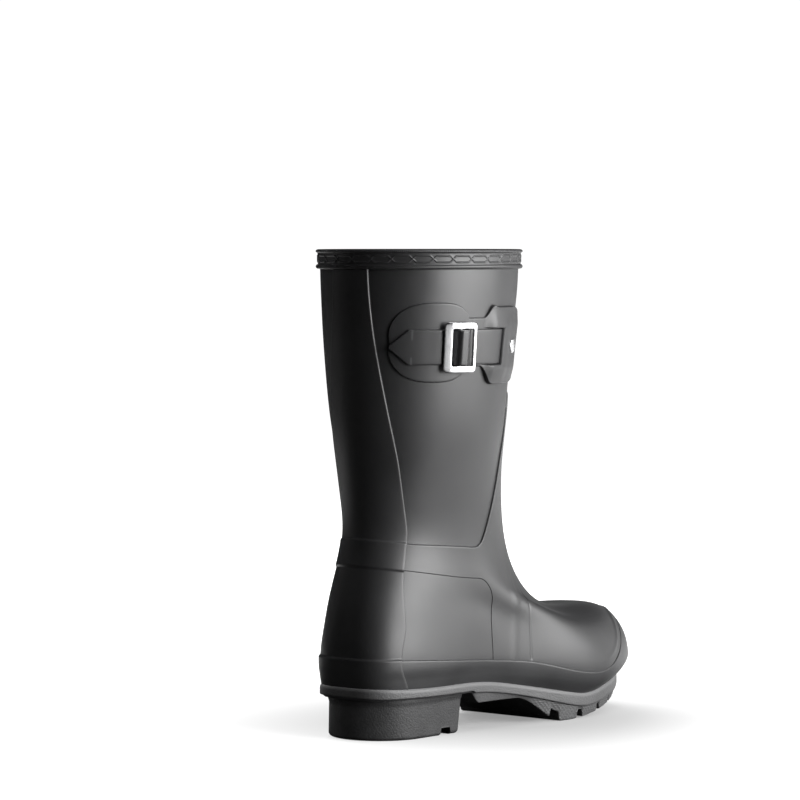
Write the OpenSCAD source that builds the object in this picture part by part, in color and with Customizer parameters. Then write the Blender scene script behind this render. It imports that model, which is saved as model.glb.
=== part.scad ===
// Short rubber rain boot for the right foot, drawn as the separate pieces that it is built from.
// Millimetres. +X points to the toe, +Y to the inner side of the foot and +Z up.
// The origin is on the ground, on the heel's bottom face, under the axis of the leg.

/* [Leg] */
// Height of the rim above the ground
rim_h = 300; // [296:1:304]
// Length of the leg opening from front to back, outside
leg_l = 134; // [131:1:137]
// Width of the leg opening from side to side, outside
leg_w = 117; // [114:1:120]
// Width of the ankle
ankle_w = 73; // [70:1:76]
// Thickness of the rubber of the leg and the foot
wall = 2.4; // [2:0.1:2.8]

/* [Foot] */
// Reach of the toe in front of the leg axis
toe_x = 201; // [196:1:206]
// Reach of the heel behind the leg axis
heel_x = 72; // [70:1:74]
// Width of the forefoot at the ball
ball_w = 95; // [91:1:99]
// Width of the foot at the heel
heel_w = 79; // [76:1:82]

/* [Layers] */
// Thickness of the rubber layers laid over the upper
layer = 1.2; // [1:0.1:1.5]
// Thickness of the textile lining
lining = 0.8; // [0.6:0.1:1]
// Gap between layers that lie on one another
gap = 0.1; // [0.05:0.01:0.15]

/* [Binding] */
// Height of the binding around the rim
binding_h = 12; // [10:0.5:14]
// How far the binding stands out from the leg
binding_t = 3; // [2:0.1:3.5]

/* [Sole] */
// Height of the heel block
heel_h = 25; // [23:0.5:26]
// Radius of the round back of the heel block
heel_r = 32; // [30:0.5:33]
// How far the sole's band stands out from the upper
sole_ledge = 3.4; // [2.5:0.1:4]
// Height of the underside of the waist above the ground
waist_h = 17.5; // [15:0.5:20]
// Height of the underside of the toe above the ground
toe_spring = 12; // [10:0.5:13]
// Thickness of the removable insole
insole_t = 4; // [3:0.5:5]

/* [Strap] */
// Height of the strap's centre line above the ground
strap_z = 241; // [236:1:246]
// Width of the strap
strap_w = 21.5; // [20:0.5:22]
// Thickness of the strap
strap_t = 1.6; // [1.4:0.1:1.8]
// Thickness of the base patch under the strap
base_t = 1; // [0.8:0.1:1.2]
// Angle from the toe side to the rivet, around the leg
rivet_angle = 65; // [64:1:66]
// Angle from the toe side to the buckle's pin, around the leg
buckle_angle = 112; // [111:1:113]
// Angle from the toe side to the strap's tip, around the leg
tip_angle = 153; // [152:0.5:154]

/* [Buckle] */
// Height of the buckle frame, along the leg
frame_h = 31; // [30.5:0.5:32]
// Width of the buckle frame, around the leg
frame_w = 22; // [21.5:0.5:22.5]
// Thickness of the buckle frame
frame_t = 2.4; // [2:0.1:2.6]
// Radius of the buckle's pin
pin_r = 1; // [0.9:0.05:1.1]
// Height of the pin's axis above the surface of the leg
pin_out = 5; // [5:0.1:5.2]

/* [Hidden] */

$fn = 48;
rubber = [0.07, 0.07, 0.075];
sole_rubber = [0.11, 0.11, 0.115];
textile = [0.32, 0.33, 0.34];
metal = [0.8, 0.81, 0.83];
back_angle = 180;
cut = 0.01;

// Each ring of the upper's outer surface is a superellipse, listed from the sole up to the rim:
// back x, back z, front x, front z, half width at the heel, half width at the ball, and the
// squareness of the heel's and of the toe's round (2 is an ellipse).
RINGS = [
    [2.5 - heel_x, 32.5, toe_x - 11, 14, heel_w / 2 - 3, ball_w / 2 - 6.5, 3.8, 3],
    [1 - heel_x, 38, toe_x - 3, 23, heel_w / 2 - 1.5, ball_w / 2 - 1.5, 3.6, 2.9],
    [-heel_x, 46, toe_x, 34.5, heel_w / 2, ball_w / 2, 3.5, 2.8],
    [-heel_x, 57, toe_x - 2, 50.5, heel_w / 2, ball_w / 2 - 1.5, 3.4, 2.35],
    [1.5 - heel_x, 68, toe_x - 18, 64.5, heel_w / 2, ball_w / 2 - 6.5, 3.1, 1.95],
    [3.5 - heel_x, 80, toe_x - 48, 69.5, heel_w / 2 - 0.5, ball_w / 2 - 9.3, 2.9, 1.9],
    [6.5 - heel_x, 92, toe_x - 82, 66.5, heel_w / 2 - 1, ankle_w / 2 + 0.2, 2.65, 1.9],
    [10 - heel_x, 104, 93, 79, ankle_w / 2 + 1.5, ankle_w / 2 + 0.5, 2.4, 1.95],
    [13.5 - heel_x, 116, 75, 96, ankle_w / 2, ankle_w / 2, 2.25, 2.15],
    [10 - leg_l / 2, 128, 66, 116, ankle_w / 2, ankle_w / 2 + 0.5, 2.1, 2.1],
    [10 - leg_l / 2, 142, 61.5, 139, ankle_w / 2 + 2.5, ankle_w / 2 + 3, 2.05, 2.05],
    [8 - leg_l / 2, 165, 59, 164, leg_w / 2 - 15, leg_w / 2 - 15, 2, 2],
    [4 - leg_l / 2, 200, 59.5, 199, leg_w / 2 - 8.5, leg_w / 2 - 8.5, 2, 2],
    [1.5 - leg_l / 2, 240, leg_l / 2 - 5, 240, leg_w / 2 - 4, leg_w / 2 - 4, 2, 2],
    [0.5 - leg_l / 2, 275, leg_l / 2 - 1, 275, leg_w / 2 - 1, leg_w / 2 - 1, 2, 2],
    [-leg_l / 2, rim_h, leg_l / 2, rim_h, leg_w / 2, leg_w / 2, 2, 2],
];
RIM = len(RINGS) - 1;
// Ring at which the leg's sheet ends and the foot's begins
JOIN = 7.8;

function mix(a, b, k) = a + (b - a) * k;

function ease(a, b, x) =
    let (k = min(max((x - a) / (b - a), 0), 1))
    k * k * (3 - 2 * k);

function hump(x, centre, width) = exp(-pow((x - centre) / width, 2));

// Smooth curve through the rows of a table, where row 0 is at u = 0, row 1 at u = 1 and so on
function spline(rows, u) =
    let (
        last = len(rows) - 1,
        i = min(max(floor(u), 0), last - 1),
        f = u - i,
        a = rows[max(i - 1, 0)],
        b = rows[i],
        c = rows[i + 1],
        d = rows[min(i + 2, last)]
    )
    (2 * b + (c - a) * f + (2 * a - 5 * b + 4 * c - d) * f * f + (3 * b - a - 3 * c + d) * f * f * f) / 2;

// Ring number of the leg at the height z
function level(z, low = JOIN, high = RIM, steps = 12) =
    let (middle = (low + high) / 2)
    steps == 0 ? middle
        : spline(RINGS, middle)[1] < z ? level(z, middle, high, steps - 1)
        : level(z, low, middle, steps - 1);

// Point of the upper's outer surface on ring u, at the angle a from the toe towards the inner side
function skin(u, a) =
    let (
        r = spline(RINGS, u),
        along = cos(a),
        squareness = along < 0 ? r[6] : r[7],
        across = sign(sin(a)) * pow(max(1 - pow(abs(along), squareness), 0), 1 / squareness),
        t = (1 + along) / 2,
        foot = 1 - ease(4, 9, u),
        sole = 1 - ease(0, 5, u),
        half = mix(r[4], r[5], ease(0.28, 0.7, t)) - 3 * foot * hump(t, 0.42, 0.13),
        middle = foot * (9 * (1 - ease(2, 5, u)) * ease(0.72, 1, t) - 5 * hump(t, 0.66, 0.18)),
        arch = sole * (4 * hump(t, 0.33, 0.17) - 4.5 * hump(t, 0.72, 0.16)),
        spring = (1 - ease(0, 2.5, u)) * (4.5 * ease(0.66, 0.82, t) + 9 * pow(max(t - 0.8, 0) / 0.2, 2)),
        ankle = 5.5 * hump(t, 0.6, 0.17) * hump(u, 6.2, 0.8),
        instep = 6.5 * hump(t, 0.8, 0.12) * hump(u, 5, 0.75) + 4 * hump(t, 0.7, 0.1) * hump(u, 4.3, 0.6)
    )
    [
        mix(r[0], r[2], t),
        middle + half * across,
        mix(r[1], r[3], t) + arch + spring + ankle - instep,
    ];

// Outward direction of the surface there
function outward(u, a) =
    let (
        around = skin(u, a + 1) - skin(u, a - 1),
        up = skin(min(u + 0.05, RIM), a) - skin(max(u - 0.05, 0), a),
        n = cross(around, up)
    )
    n / norm(n);

// Angle, short of straight back, at which the surface on ring u lies y from the middle plane
function back_half_angle(u, y) =
    let (
        r = spline(RINGS, u),
        across = min(y / r[4], 0.999)
    )
    acos(pow(1 - pow(across, r[6]), 1 / r[6]));

// Half width of the strip that runs down the back, wider towards the heel
function strip_half(u) =
    let (z = spline(RINGS, u)[1])
    14 + 11 * ease(290, 165, z) + 5.5 * ease(125, 60, z);

// Angle of the strip's edge on ring u
function strip_angle(u) = back_angle - back_half_angle(u, strip_half(u));

// Top edge of the mudguard, as a ring number: it dips at the ball and rises over the toe
function mudguard_top(a) =
    let (t = (1 + cos(a)) / 2)
    2.4 - 0.45 * ease(0.05, 0.4, t) - 0.4 * ease(0.45, 0.65, t) + 2 * ease(0.7, 1, t);

// Straight slope that starts with a soft bend at 0
function bent(x, softness = 2) = softness * ln(1 + exp(x / softness));

// Edges of the vamp overlay: a band around the ankle whose top rises to a tongue on the shin
function overlay_top(a) =
    let (
        foot = 82.5,
        tip = 41.5
    )
    8.5 + 0.12 * ease(150, 90, abs(a)) + 3.7 * (bent(foot - abs(a)) - bent(tip - abs(a))) / (foot - tip);

function overlay_bottom(a) = mix(mudguard_top(a) + 0.05, 7.15, ease(76, 94, abs(a)));

// A layer of rubber or textile from `low` to `high` above the upper's surface.
// place(p, q) gives [ring, angle], with p across and q up, both from 0 to 1.
module sheet(place, cols, rows, low, high, closed = false, lift = function (p) 0) {
    across = closed ? cols : cols + 1;
    size = across * (rows + 1);
    spots = [for (j = [0 : rows], i = [0 : across - 1]) place(i / cols, j / rows)];
    bases = [for (s = spots) skin(s[0], s[1])];
    normals = [for (s = spots) outward(s[0], s[1])];
    rise = [for (j = [0 : rows], i = [0 : across - 1]) lift(i / cols)];
    points = [
        for (k = [0 : size - 1]) bases[k] + (high + rise[k]) * normals[k],
        for (k = [0 : size - 1]) bases[k] + (low + rise[k]) * normals[k],
    ];
    out = function (i, j) j * across + i % across;
    in = function (i, j) size + out(i, j);
    quads = [
        for (j = [0 : rows - 1], i = [0 : cols - 1])
            each [
                [out(i, j), out(i, j + 1), out(i + 1, j + 1), out(i + 1, j)],
                [in(i, j), in(i + 1, j), in(i + 1, j + 1), in(i, j + 1)],
            ],
        for (i = [0 : cols - 1])
            each [
                [out(i, 0), out(i + 1, 0), in(i + 1, 0), in(i, 0)],
                [out(i + 1, rows), out(i, rows), in(i, rows), in(i + 1, rows)],
            ],
        if (!closed)
            for (j = [0 : rows - 1])
                each [
                    [out(0, j + 1), out(0, j), in(0, j), in(0, j + 1)],
                    [out(cols, j), out(cols, j + 1), in(cols, j + 1), in(cols, j)],
                ],
    ];
    polyhedron(points, [for (q = quads) each [[q[0], q[1], q[2]], [q[0], q[2], q[3]]]]);
}

// A solid through a row of closed sections that have equal numbers of points
module loft(sections) {
    n = len(sections[0]);
    last = len(sections) - 1;
    points = [for (s = sections) each s];
    sides = [
        for (j = [0 : last - 1], i = [0 : n - 1])
            let (k = (i + 1) % n)
            each [
                [j * n + i, j * n + k, (j + 1) * n + k],
                [j * n + i, (j + 1) * n + k, (j + 1) * n + i],
            ],
    ];
    ends = [
        for (i = [1 : n - 2])
            each [[0, i + 1, i], [last * n, last * n + i, last * n + i + 1]],
    ];
    polyhedron(points, concat(sides, ends));
}

// Point on the outline of ring u, moved outward in plan by `out`, at the height z
function edge(u, a, out, z) =
    let (
        p = skin(u, a),
        along = skin(u, a + 1) - skin(u, a - 1)
    )
    [p[0] + out * along[1] / norm([along[0], along[1]]), p[1] - out * along[0] / norm([along[0], along[1]]), z];

// Height of the line where the upper meets the sole
function feather_z(a) = skin(0, a)[2];

// Section of a flat layer inside the sole, at the angle a, from `low` to `high` above the feather line
function layer_section(u, a, out, low, high) =
    let (z = feather_z(a))
    [edge(u, -a, out, z + low), edge(u, a, out, z + low), edge(u, a, out, z + high), edge(u, -a, out, z + high)];

// Height of the sole's underside at x: heel seat, waist, tread and toe spring
function tread_z(x) =
    mix(mix(heel_h, waist_h, ease(6, 16, x)), 0, ease(50, 88, x))
    + toe_spring * pow(max(x - 95, 0) / 95, 1.3);

module leg_upper() {
    color(rubber)
        sheet(function (p, q) [mix(JOIN + 0.01, RIM, q), 360 * p], 40, 10, -wall, 0, closed = true);
}

module foot_upper() {
    color(rubber)
        sheet(function (p, q) [mix(0.02, JOIN - 0.01, q), 360 * p], 56, 13, -wall, 0, closed = true);
}

// Vamp and ankle band with a tongue up the shin, laid over the upper
module vamp_overlay() {
    span = strip_angle(7.7) - 1;
    color(rubber)
        sheet(
            function (p, q)
                let (a = mix(-span, span, p))
                [mix(overlay_bottom(a), overlay_top(a), q), a],
            60, 11, gap, layer
        );
}

// Stiffener around the heel, one half on each side of the back strip
module heel_counter() {
    color(rubber)
        for (side = [-1, 1])
            sheet(
                function (p, q)
                    let (
                        u = mix(2.55, 6.95, q),
                        front = 92,
                        back = strip_angle(u) - 1.5
                    )
                    [u, side * (side > 0 ? mix(front, back, p) : mix(back, front, p))],
                10, 6, gap, layer / 2
            );
}

module back_strip() {
    color(rubber)
        sheet(
            function (p, q)
                let (u = mix(0.05, level(rim_h - binding_h) - 0.04, q))
                [u, back_angle + (2 * p - 1) * back_half_angle(u, strip_half(u))],
            8, 30, gap, layer
        );
}

// Band of rubber around the foot above the sole, raised over the toe as a bumper
module mudguard() {
    span = strip_angle(1.2) - 1;
    color(rubber)
        sheet(
            function (p, q)
                let (a = mix(-span, span, p))
                [mix(0.05, mudguard_top(a), q), a],
            60, 4, gap, layer + 0.2
        );
}

// Stiffener inside the toe
module toe_puff() {
    color(rubber)
        sheet(
            function (p, q)
                let (u = mix(0.9, 4.6, q))
                [u, mix(-62, 62, p)],
            18, 6, -wall - lining, -wall - gap
        );
}

module top_binding() {
    color(rubber)
        sheet(
            function (p, q) [mix(level(rim_h - binding_h), RIM, q), 360 * p],
            48, 2, gap, binding_t, closed = true
        );
}

module leg_lining() {
    color(textile)
        sheet(
            function (p, q) [mix(JOIN + 0.01, RIM - 0.02, q), 360 * p],
            40, 10, -wall - lining - 2 * gap, -wall - 2 * gap, closed = true
        );
}

// Lining of the foot, inside the toe puff
module foot_lining() {
    inside = -wall - lining - 2 * gap;
    color(textile)
        sheet(
            function (p, q) [mix(0.72, JOIN - 0.01, q), 360 * p],
            48, 12, inside - lining, inside, closed = true
        );
}

// Moulded sole: a band that stands out around the upper, and a tread set in below it
module outsole() {
    color(sole_rubber)
        loft([
            for (a = [178.5 : -3 : 1.5])
                let (
                    z = feather_z(a),
                    t = (1 + cos(a)) / 2,
                    ledge = sole_ledge * mix(1, 0.5, ease(0.85, 1, t)),
                    under = tread_z(skin(0, a)[0]),
                    band = min(mix(6.2, 8, ease(0.45, 0.65, t)), z - under - 1)
                )
                [
                    edge(0, -a, ledge, z),
                    edge(0, -a, ledge, z - band),
                    edge(0, -a, ledge - 1.6, z - band),
                    edge(0, -a, ledge - 2.6, under),
                    edge(0, a, ledge - 2.6, under),
                    edge(0, a, ledge - 1.6, z - band),
                    edge(0, a, ledge, z - band),
                    edge(0, a, ledge, z),
                ],
        ]);
}

// Heel with a round back, a sloping front face and a groove across its bottom
module heel_block() {
    front = 5;
    slope = 10.2;
    groove_x = -17.5;
    groove_w = 9.5;
    groove_h = 4.6;
    back = heel_r - 70;
    color(sole_rubber)
        difference() {
            linear_extrude(heel_h - gap) {
                translate([back, 0])
                    circle(heel_r);
                translate([back, -heel_r])
                    square([front - back, 2 * heel_r]);
            }
            translate([groove_x, -heel_r - 1, -1])
                cube([groove_w, 2 * heel_r + 2, groove_h + 1]);
            translate([front, 0, heel_h - gap])
                rotate([0, slope, 0])
                    translate([0, -heel_r - 1, -heel_h - 5])
                        cube([10, 2 * heel_r + 2, heel_h + 10]);
        }
}

// Sheet between the sole and the insole board, with a slot for the shank
module midsole() {
    color(sole_rubber)
        difference() {
            loft([for (a = [176 : -4 : 4]) layer_section(0, a, -3.2, gap, 1.8)]);
            translate([-41, -9.5, 20])
                cube([112, 19, 20]);
        }
}

// Stiff strip under the arch
module shank() {
    steps = 12;
    color(metal)
        loft([
            for (i = [0 : steps])
                let (
                    x = mix(-40, 70, i / steps),
                    t = (x - RINGS[0][0]) / (RINGS[0][2] - RINGS[0][0]),
                    z = feather_z(acos(2 * t - 1))
                )
                [[x, -9, z + 0.3], [x, 9, z + 0.3], [x, 9, z + 1.5], [x, -9, z + 1.5]],
        ]);
}

module insole_board() {
    color(textile)
        loft([for (a = [176 : -4 : 4]) layer_section(0, a, -3.2, 2, 3.6)]);
}

// Removable insole, loose inside the lining
module insole() {
    color(textile)
        loft([for (a = [175 : -5 : 5]) layer_section(0, a, -6.5, 4, 4 + insole_t)]);
}

// Places its children on the leg at the strap's height, with Z outward, X down and Y to the toe
module on_leg(angle, out = 0) {
    u = level(strap_z);
    n = outward(u, -angle);
    translate(skin(u, -angle) + out * n)
        rotate([0, 90 - asin(n[2]), atan2(n[1], n[0])])
            children();
}

// Half height of the base patch at an angle: an oval lobe, a neck and a squarer lobe
function patch_half(angle) =
    angle > 105.5 ? 24.4 * sqrt(max(1 - pow((angle - 125) / 28.6, 2), 0.02))
        : mix(15, 24, ease(94.5, 86.5, angle)) * sqrt(1 - pow(max(66 - angle, 0) / 23, 2));

// Strip of the leg around the strap's centre line, between two angles
function around_leg(from, to, half, middle = function (angle) strap_z) =
    function (p, q)
        let (angle = mix(from, to, p))
        [level(middle(angle) + (2 * q - 1) * half(angle)), -angle];

// Patch under the strap, whose oval lobe sits a little higher than its squarer one
module strap_base() {
    middle = function (angle) strap_z + mix(0.6, 2.7, ease(84, 90, angle));
    color(rubber)
        sheet(
            around_leg(tip_angle + 0.2, 45, function (angle) patch_half(angle), middle),
            38, 4, gap / 2, base_t
        );
}

// Raised plate that holds the strap's fixed end and leaves a notch where the strap comes out
module strap_keeper() {
    slot = 79;
    top = base_t + gap + strap_t + gap + 1;
    plate = function (angle) patch_half(angle) - 0.6;
    color(rubber)
        difference() {
            sheet(around_leg(91, 46, plate), 16, 4, base_t + gap, top);
            sheet(
                around_leg(89, slot, function (angle) strap_w / 2 + 0.5),
                6, 2, 0, top + 1
            );
            sheet(
                around_leg(slot + 0.5, rivet_angle - 7, function (angle) strap_w / 2 + 0.3),
                6, 2, 0, base_t + strap_t + 2 * gap
            );
            on_leg(rivet_angle)
                cylinder(r = 1.6, h = 10);
        }
}

// How far the strap rises at an angle, to pass over the buckle's pin and under both its side bars
function strap_rise(angle) =
    let (
        d = angle - buckle_angle,
        reach = d > 0 ? 6 : 7.5
    )
    (pin_out + pin_r + 1 - base_t - gap) * (1 + cos(min(abs(d) / reach, 1) * 180)) / 2;

module strap() {
    from = buckle_angle + 12;
    to = rivet_angle - 6;
    color(rubber)
        difference() {
            sheet(
                around_leg(from, to, function (angle) strap_w / 2),
                53, 2, base_t + gap, base_t + gap + strap_t,
                lift = function (p) strap_rise(mix(from, to, p))
            );
            on_leg(rivet_angle)
                cylinder(r = 1.6, h = 10);
        }
}

// Free end of the strap beyond the buckle, with a pointed tip
module strap_tail() {
    half = function (angle) strap_w / 2 * mix(0.08, 1, min((tip_angle - angle) / 12.5, 1));
    color(rubber)
        sheet(
            around_leg(tip_angle, buckle_angle + 12.3, half),
            24, 2, base_t + gap, base_t + gap + strap_t
        );
}

module rounded_plate(x0, x1, y0, y1, r) {
    translate([x0 + r, y0])
        square([x1 - x0 - 2 * r, y1 - y0]);
    translate([x0, y0 + r])
        square([x1 - x0, y1 - y0 - 2 * r]);
    for (x = [x0 + r, x1 - r], y = [y0 + r, y1 - r])
        translate([x, y])
            circle(r);
}

// Frame with one wide side bar, and a blind hole in each end bar for the pin
module buckle_frame() {
    end_bar = 4.2;
    side_bar = 2.2;
    wide_bar = 5;
    color(metal)
        on_leg(buckle_angle, pin_out)
            difference() {
                translate([0, 0, -frame_t / 2])
                    linear_extrude(frame_t)
                        difference() {
                            rounded_plate(-frame_h / 2, frame_h / 2, -frame_w / 2, frame_w / 2, 3);
                            rounded_plate(
                                end_bar - frame_h / 2, frame_h / 2 - end_bar,
                                wide_bar - frame_w / 2, frame_w / 2 - side_bar, 1.2
                            );
                        }
                rotate([0, 90, 0])
                    cylinder(r = pin_r, h = frame_h - 2, center = true);
            }
}

module buckle_pin() {
    color(metal)
        on_leg(buckle_angle, pin_out)
            rotate([0, 90, 0])
                cylinder(r = pin_r, h = frame_h - 2.2, center = true);
}

// Loop on the base patch in which the buckle's pin turns
module buckle_chape() {
    tube_r = pin_r + 0.6;
    clearance = 0.05;
    length = strap_w - 0.5;
    foot_w = 8;
    foot_t = 0.5;
    color(rubber)
        on_leg(buckle_angle)
            difference() {
                union() {
                    translate([-length / 2, -0.7, base_t + 0.2])
                        cube([length, 1.4, pin_out - base_t - 0.2]);
                    translate([-length / 2, -foot_w / 2, base_t + 0.2])
                        cube([length, foot_w, foot_t]);
                    translate([0, 0, pin_out])
                        rotate([0, 90, 0])
                            cylinder(r = tube_r, h = length, center = true);
                }
                translate([0, 0, pin_out])
                    rotate([0, 90, 0])
                        cylinder(r = pin_r + clearance, h = length + 2, center = true);
            }
}

// Rivet through the keeper, the strap's end and the base patch
module rivet() {
    head_r = 4.3;
    head_h = 1.1;
    sphere_r = (head_r * head_r + head_h * head_h) / (2 * head_h);
    top = base_t + strap_t + 2 * gap + 1 + gap;
    color(metal)
        on_leg(rivet_angle) {
            translate([0, 0, 0.35])
                cylinder(r = 1.5, h = top + 0.3 - 0.35);
            translate([0, 0, top])
                intersection() {
                    translate([0, 0, head_h - sphere_r])
                        sphere(sphere_r, $fn = 96);
                    cylinder(r = head_r + cut, h = head_h);
                }
        }
}

// Ring that the rivet is spread over, moulded into the base patch
module rivet_burr() {
    color(metal)
        on_leg(rivet_angle, 0.4)
            difference() {
                cylinder(r = 4, h = 0.4);
                translate([0, 0, -1])
                    cylinder(r = 1.55, h = 3);
            }
}

leg_upper();
foot_upper();
vamp_overlay();
heel_counter();
back_strip();
mudguard();
toe_puff();
top_binding();
leg_lining();
foot_lining();
outsole();
heel_block();
midsole();
shank();
insole_board();
insole();
strap_base();
strap_keeper();
strap();
strap_tail();
buckle_frame();
buckle_pin();
buckle_chape();
rivet();
rivet_burr();
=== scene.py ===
# Looks of the short rubber rain boot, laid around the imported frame.
# Lengths are in millimetres and angles in degrees; points turn into metres only when a mesh is made.
# An angle of 0 is the toe side, +90 the inner side and -90 the outer side, where the strap is.
import math

import bmesh
import bpy
import numpy as np
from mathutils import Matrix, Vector


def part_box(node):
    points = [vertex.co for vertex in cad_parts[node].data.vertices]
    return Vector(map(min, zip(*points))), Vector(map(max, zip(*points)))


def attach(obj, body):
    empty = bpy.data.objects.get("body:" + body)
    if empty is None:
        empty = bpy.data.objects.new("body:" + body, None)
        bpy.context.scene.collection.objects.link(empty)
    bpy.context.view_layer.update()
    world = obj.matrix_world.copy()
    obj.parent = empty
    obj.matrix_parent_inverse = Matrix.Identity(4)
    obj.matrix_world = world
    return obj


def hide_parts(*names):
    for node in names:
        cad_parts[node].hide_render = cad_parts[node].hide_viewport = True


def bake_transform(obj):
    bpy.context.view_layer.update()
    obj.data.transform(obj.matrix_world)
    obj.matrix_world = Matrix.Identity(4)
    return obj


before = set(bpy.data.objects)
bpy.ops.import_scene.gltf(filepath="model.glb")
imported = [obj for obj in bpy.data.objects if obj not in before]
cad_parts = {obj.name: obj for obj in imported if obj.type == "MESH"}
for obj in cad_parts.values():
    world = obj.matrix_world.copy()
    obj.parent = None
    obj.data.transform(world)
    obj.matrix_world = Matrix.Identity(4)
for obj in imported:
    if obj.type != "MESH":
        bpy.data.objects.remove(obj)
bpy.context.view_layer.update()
MM = 0.001


def corners(node):
    """Lowest and highest corner of a CAD node."""
    low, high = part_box(node)
    return np.array(low) / MM, np.array(high) / MM


def rim_corners():
    """Lowest and highest corner of the top edge of the leg's sheet."""
    points = np.array([v.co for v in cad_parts["leg_upper"].data.vertices]) / MM
    top = points[points[:, 2] > points[:, 2].max() - 0.5]
    return top.min(0), top.max(0)


# ---- Driving dimensions ----

RIM_LOW, RIM_HIGH = rim_corners()
RIM_H = round(RIM_HIGH[2], 1)
LEG_L, LEG_W = np.round(RIM_HIGH - RIM_LOW, 1)[:2]
TOE_X = round(corners("foot_upper")[1][0])
HEEL_X = -round(corners("foot_upper")[0][0])
BINDING_H = round(RIM_H - corners("top_binding")[0][2], 1)
HEEL_LOW, HEEL_HIGH = corners("heel_block")
ANKLE_W = 73
BALL_W = 95
HEEL_W = 79
# Thickness of the sheet, its lining and the layers on it, the clearance, and a layer's reach inward
WALL = 2.4
LINING = 0.8
LAYER = 1.2
GAP = 0.1
EMBED = 0.15
# The sole's reach beyond the upper, its height at the waist and its rise under the toe
SOLE_LEDGE = 3.4
WAIST_H = 17.5
TOE_SPRING = 12
INSOLE_T = 4
# The strap's height, width and thickness, its patch's thickness, and the angles of rivet, pin and tip
STRAP_Z = 241
STRAP_W = 21.5
STRAP_T = 1.6
BASE_T = 1
RIVET_ANGLE = 65
BUCKLE_ANGLE = 112
TIP_ANGLE = 153
# The buckle's pin: its radius and its distance from the leg
PIN_R = 1
PIN_OUT = 5

# Rings of the upper's outer surface, from the sole up: back x, back z, front x, front z, half width at
# the heel, half width at the ball, squareness of the heel's round, squareness of the toe's round.
RINGS = np.array([
    [2.5 - HEEL_X, 32.5, TOE_X - 11, 14, HEEL_W / 2 - 3, BALL_W / 2 - 6.5, 3.8, 3],
    [1 - HEEL_X, 38, TOE_X - 3, 23, HEEL_W / 2 - 1.5, BALL_W / 2 - 1.5, 3.6, 2.9],
    [-HEEL_X, 46, TOE_X, 34.5, HEEL_W / 2, BALL_W / 2, 3.5, 2.8],
    [-HEEL_X, 57, TOE_X - 2, 50.5, HEEL_W / 2, BALL_W / 2 - 1.5, 3.4, 2.35],
    [1.5 - HEEL_X, 68, TOE_X - 18, 64.5, HEEL_W / 2, BALL_W / 2 - 6.5, 3.1, 1.95],
    [3.5 - HEEL_X, 80, TOE_X - 48, 69.5, HEEL_W / 2 - 0.5, BALL_W / 2 - 9.3, 2.9, 1.9],
    [6.5 - HEEL_X, 92, TOE_X - 82, 66.5, HEEL_W / 2 - 1, ANKLE_W / 2 + 0.2, 2.65, 1.9],
    [10 - HEEL_X, 104, 93, 79, ANKLE_W / 2 + 1.5, ANKLE_W / 2 + 0.5, 2.4, 1.95],
    [13.5 - HEEL_X, 116, 75, 96, ANKLE_W / 2, ANKLE_W / 2, 2.25, 2.15],
    [10 - LEG_L / 2, 128, 66, 116, ANKLE_W / 2, ANKLE_W / 2 + 0.5, 2.1, 2.1],
    [10 - LEG_L / 2, 142, 61.5, 139, ANKLE_W / 2 + 2.5, ANKLE_W / 2 + 3, 2.05, 2.05],
    [8 - LEG_L / 2, 165, 59, 164, LEG_W / 2 - 15, LEG_W / 2 - 15, 2, 2],
    [4 - LEG_L / 2, 200, 59.5, 199, LEG_W / 2 - 8.5, LEG_W / 2 - 8.5, 2, 2],
    [1.5 - LEG_L / 2, 240, LEG_L / 2 - 5, 240, LEG_W / 2 - 4, LEG_W / 2 - 4, 2, 2],
    [0.5 - LEG_L / 2, 275, LEG_L / 2 - 1, 275, LEG_W / 2 - 1, LEG_W / 2 - 1, 2, 2],
    [-LEG_L / 2, RIM_H, LEG_L / 2, RIM_H, LEG_W / 2, LEG_W / 2, 2, 2],
])
RIM = len(RINGS) - 1
# Ring at which the leg's sheet ends and the foot's begins
JOIN = 7.8
# Step in rings, and weights, for evening out the rings
EVEN_STEP = 0.5
EVEN_WEIGHTS = (1 / 16, 4 / 16, 6 / 16, 4 / 16, 1 / 16)


# ---- The upper's outer surface ----

def mix(a, b, k):
    return a + (b - a) * k


def ease(a, b, x):
    k = np.clip((x - a) / (b - a), 0, 1)
    return k * k * (3 - 2 * k)


def hump(x, centre, width):
    return np.exp(-(((x - centre) / width) ** 2))


def turns(start, end, count):
    return np.radians(np.linspace(start, end, count))


def circle(count):
    return np.linspace(0, 360, count, endpoint=False)


def spline(rows, u):
    """Smooth curve through the rows of a table, where row 0 is at u = 0, row 1 at u = 1 and so on."""
    u = np.asarray(u, float)
    i = np.clip(np.floor(u).astype(int), 0, len(rows) - 2)
    f = (u - i)[..., None]
    a, b, c, d = (rows[np.clip(i + k, 0, len(rows) - 1)] for k in (-1, 0, 1, 2))
    return (2 * b + (c - a) * f + (2 * a - 5 * b + 4 * c - d) * f**2 + (3 * b - a - 3 * c + d) * f**3) / 2


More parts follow.
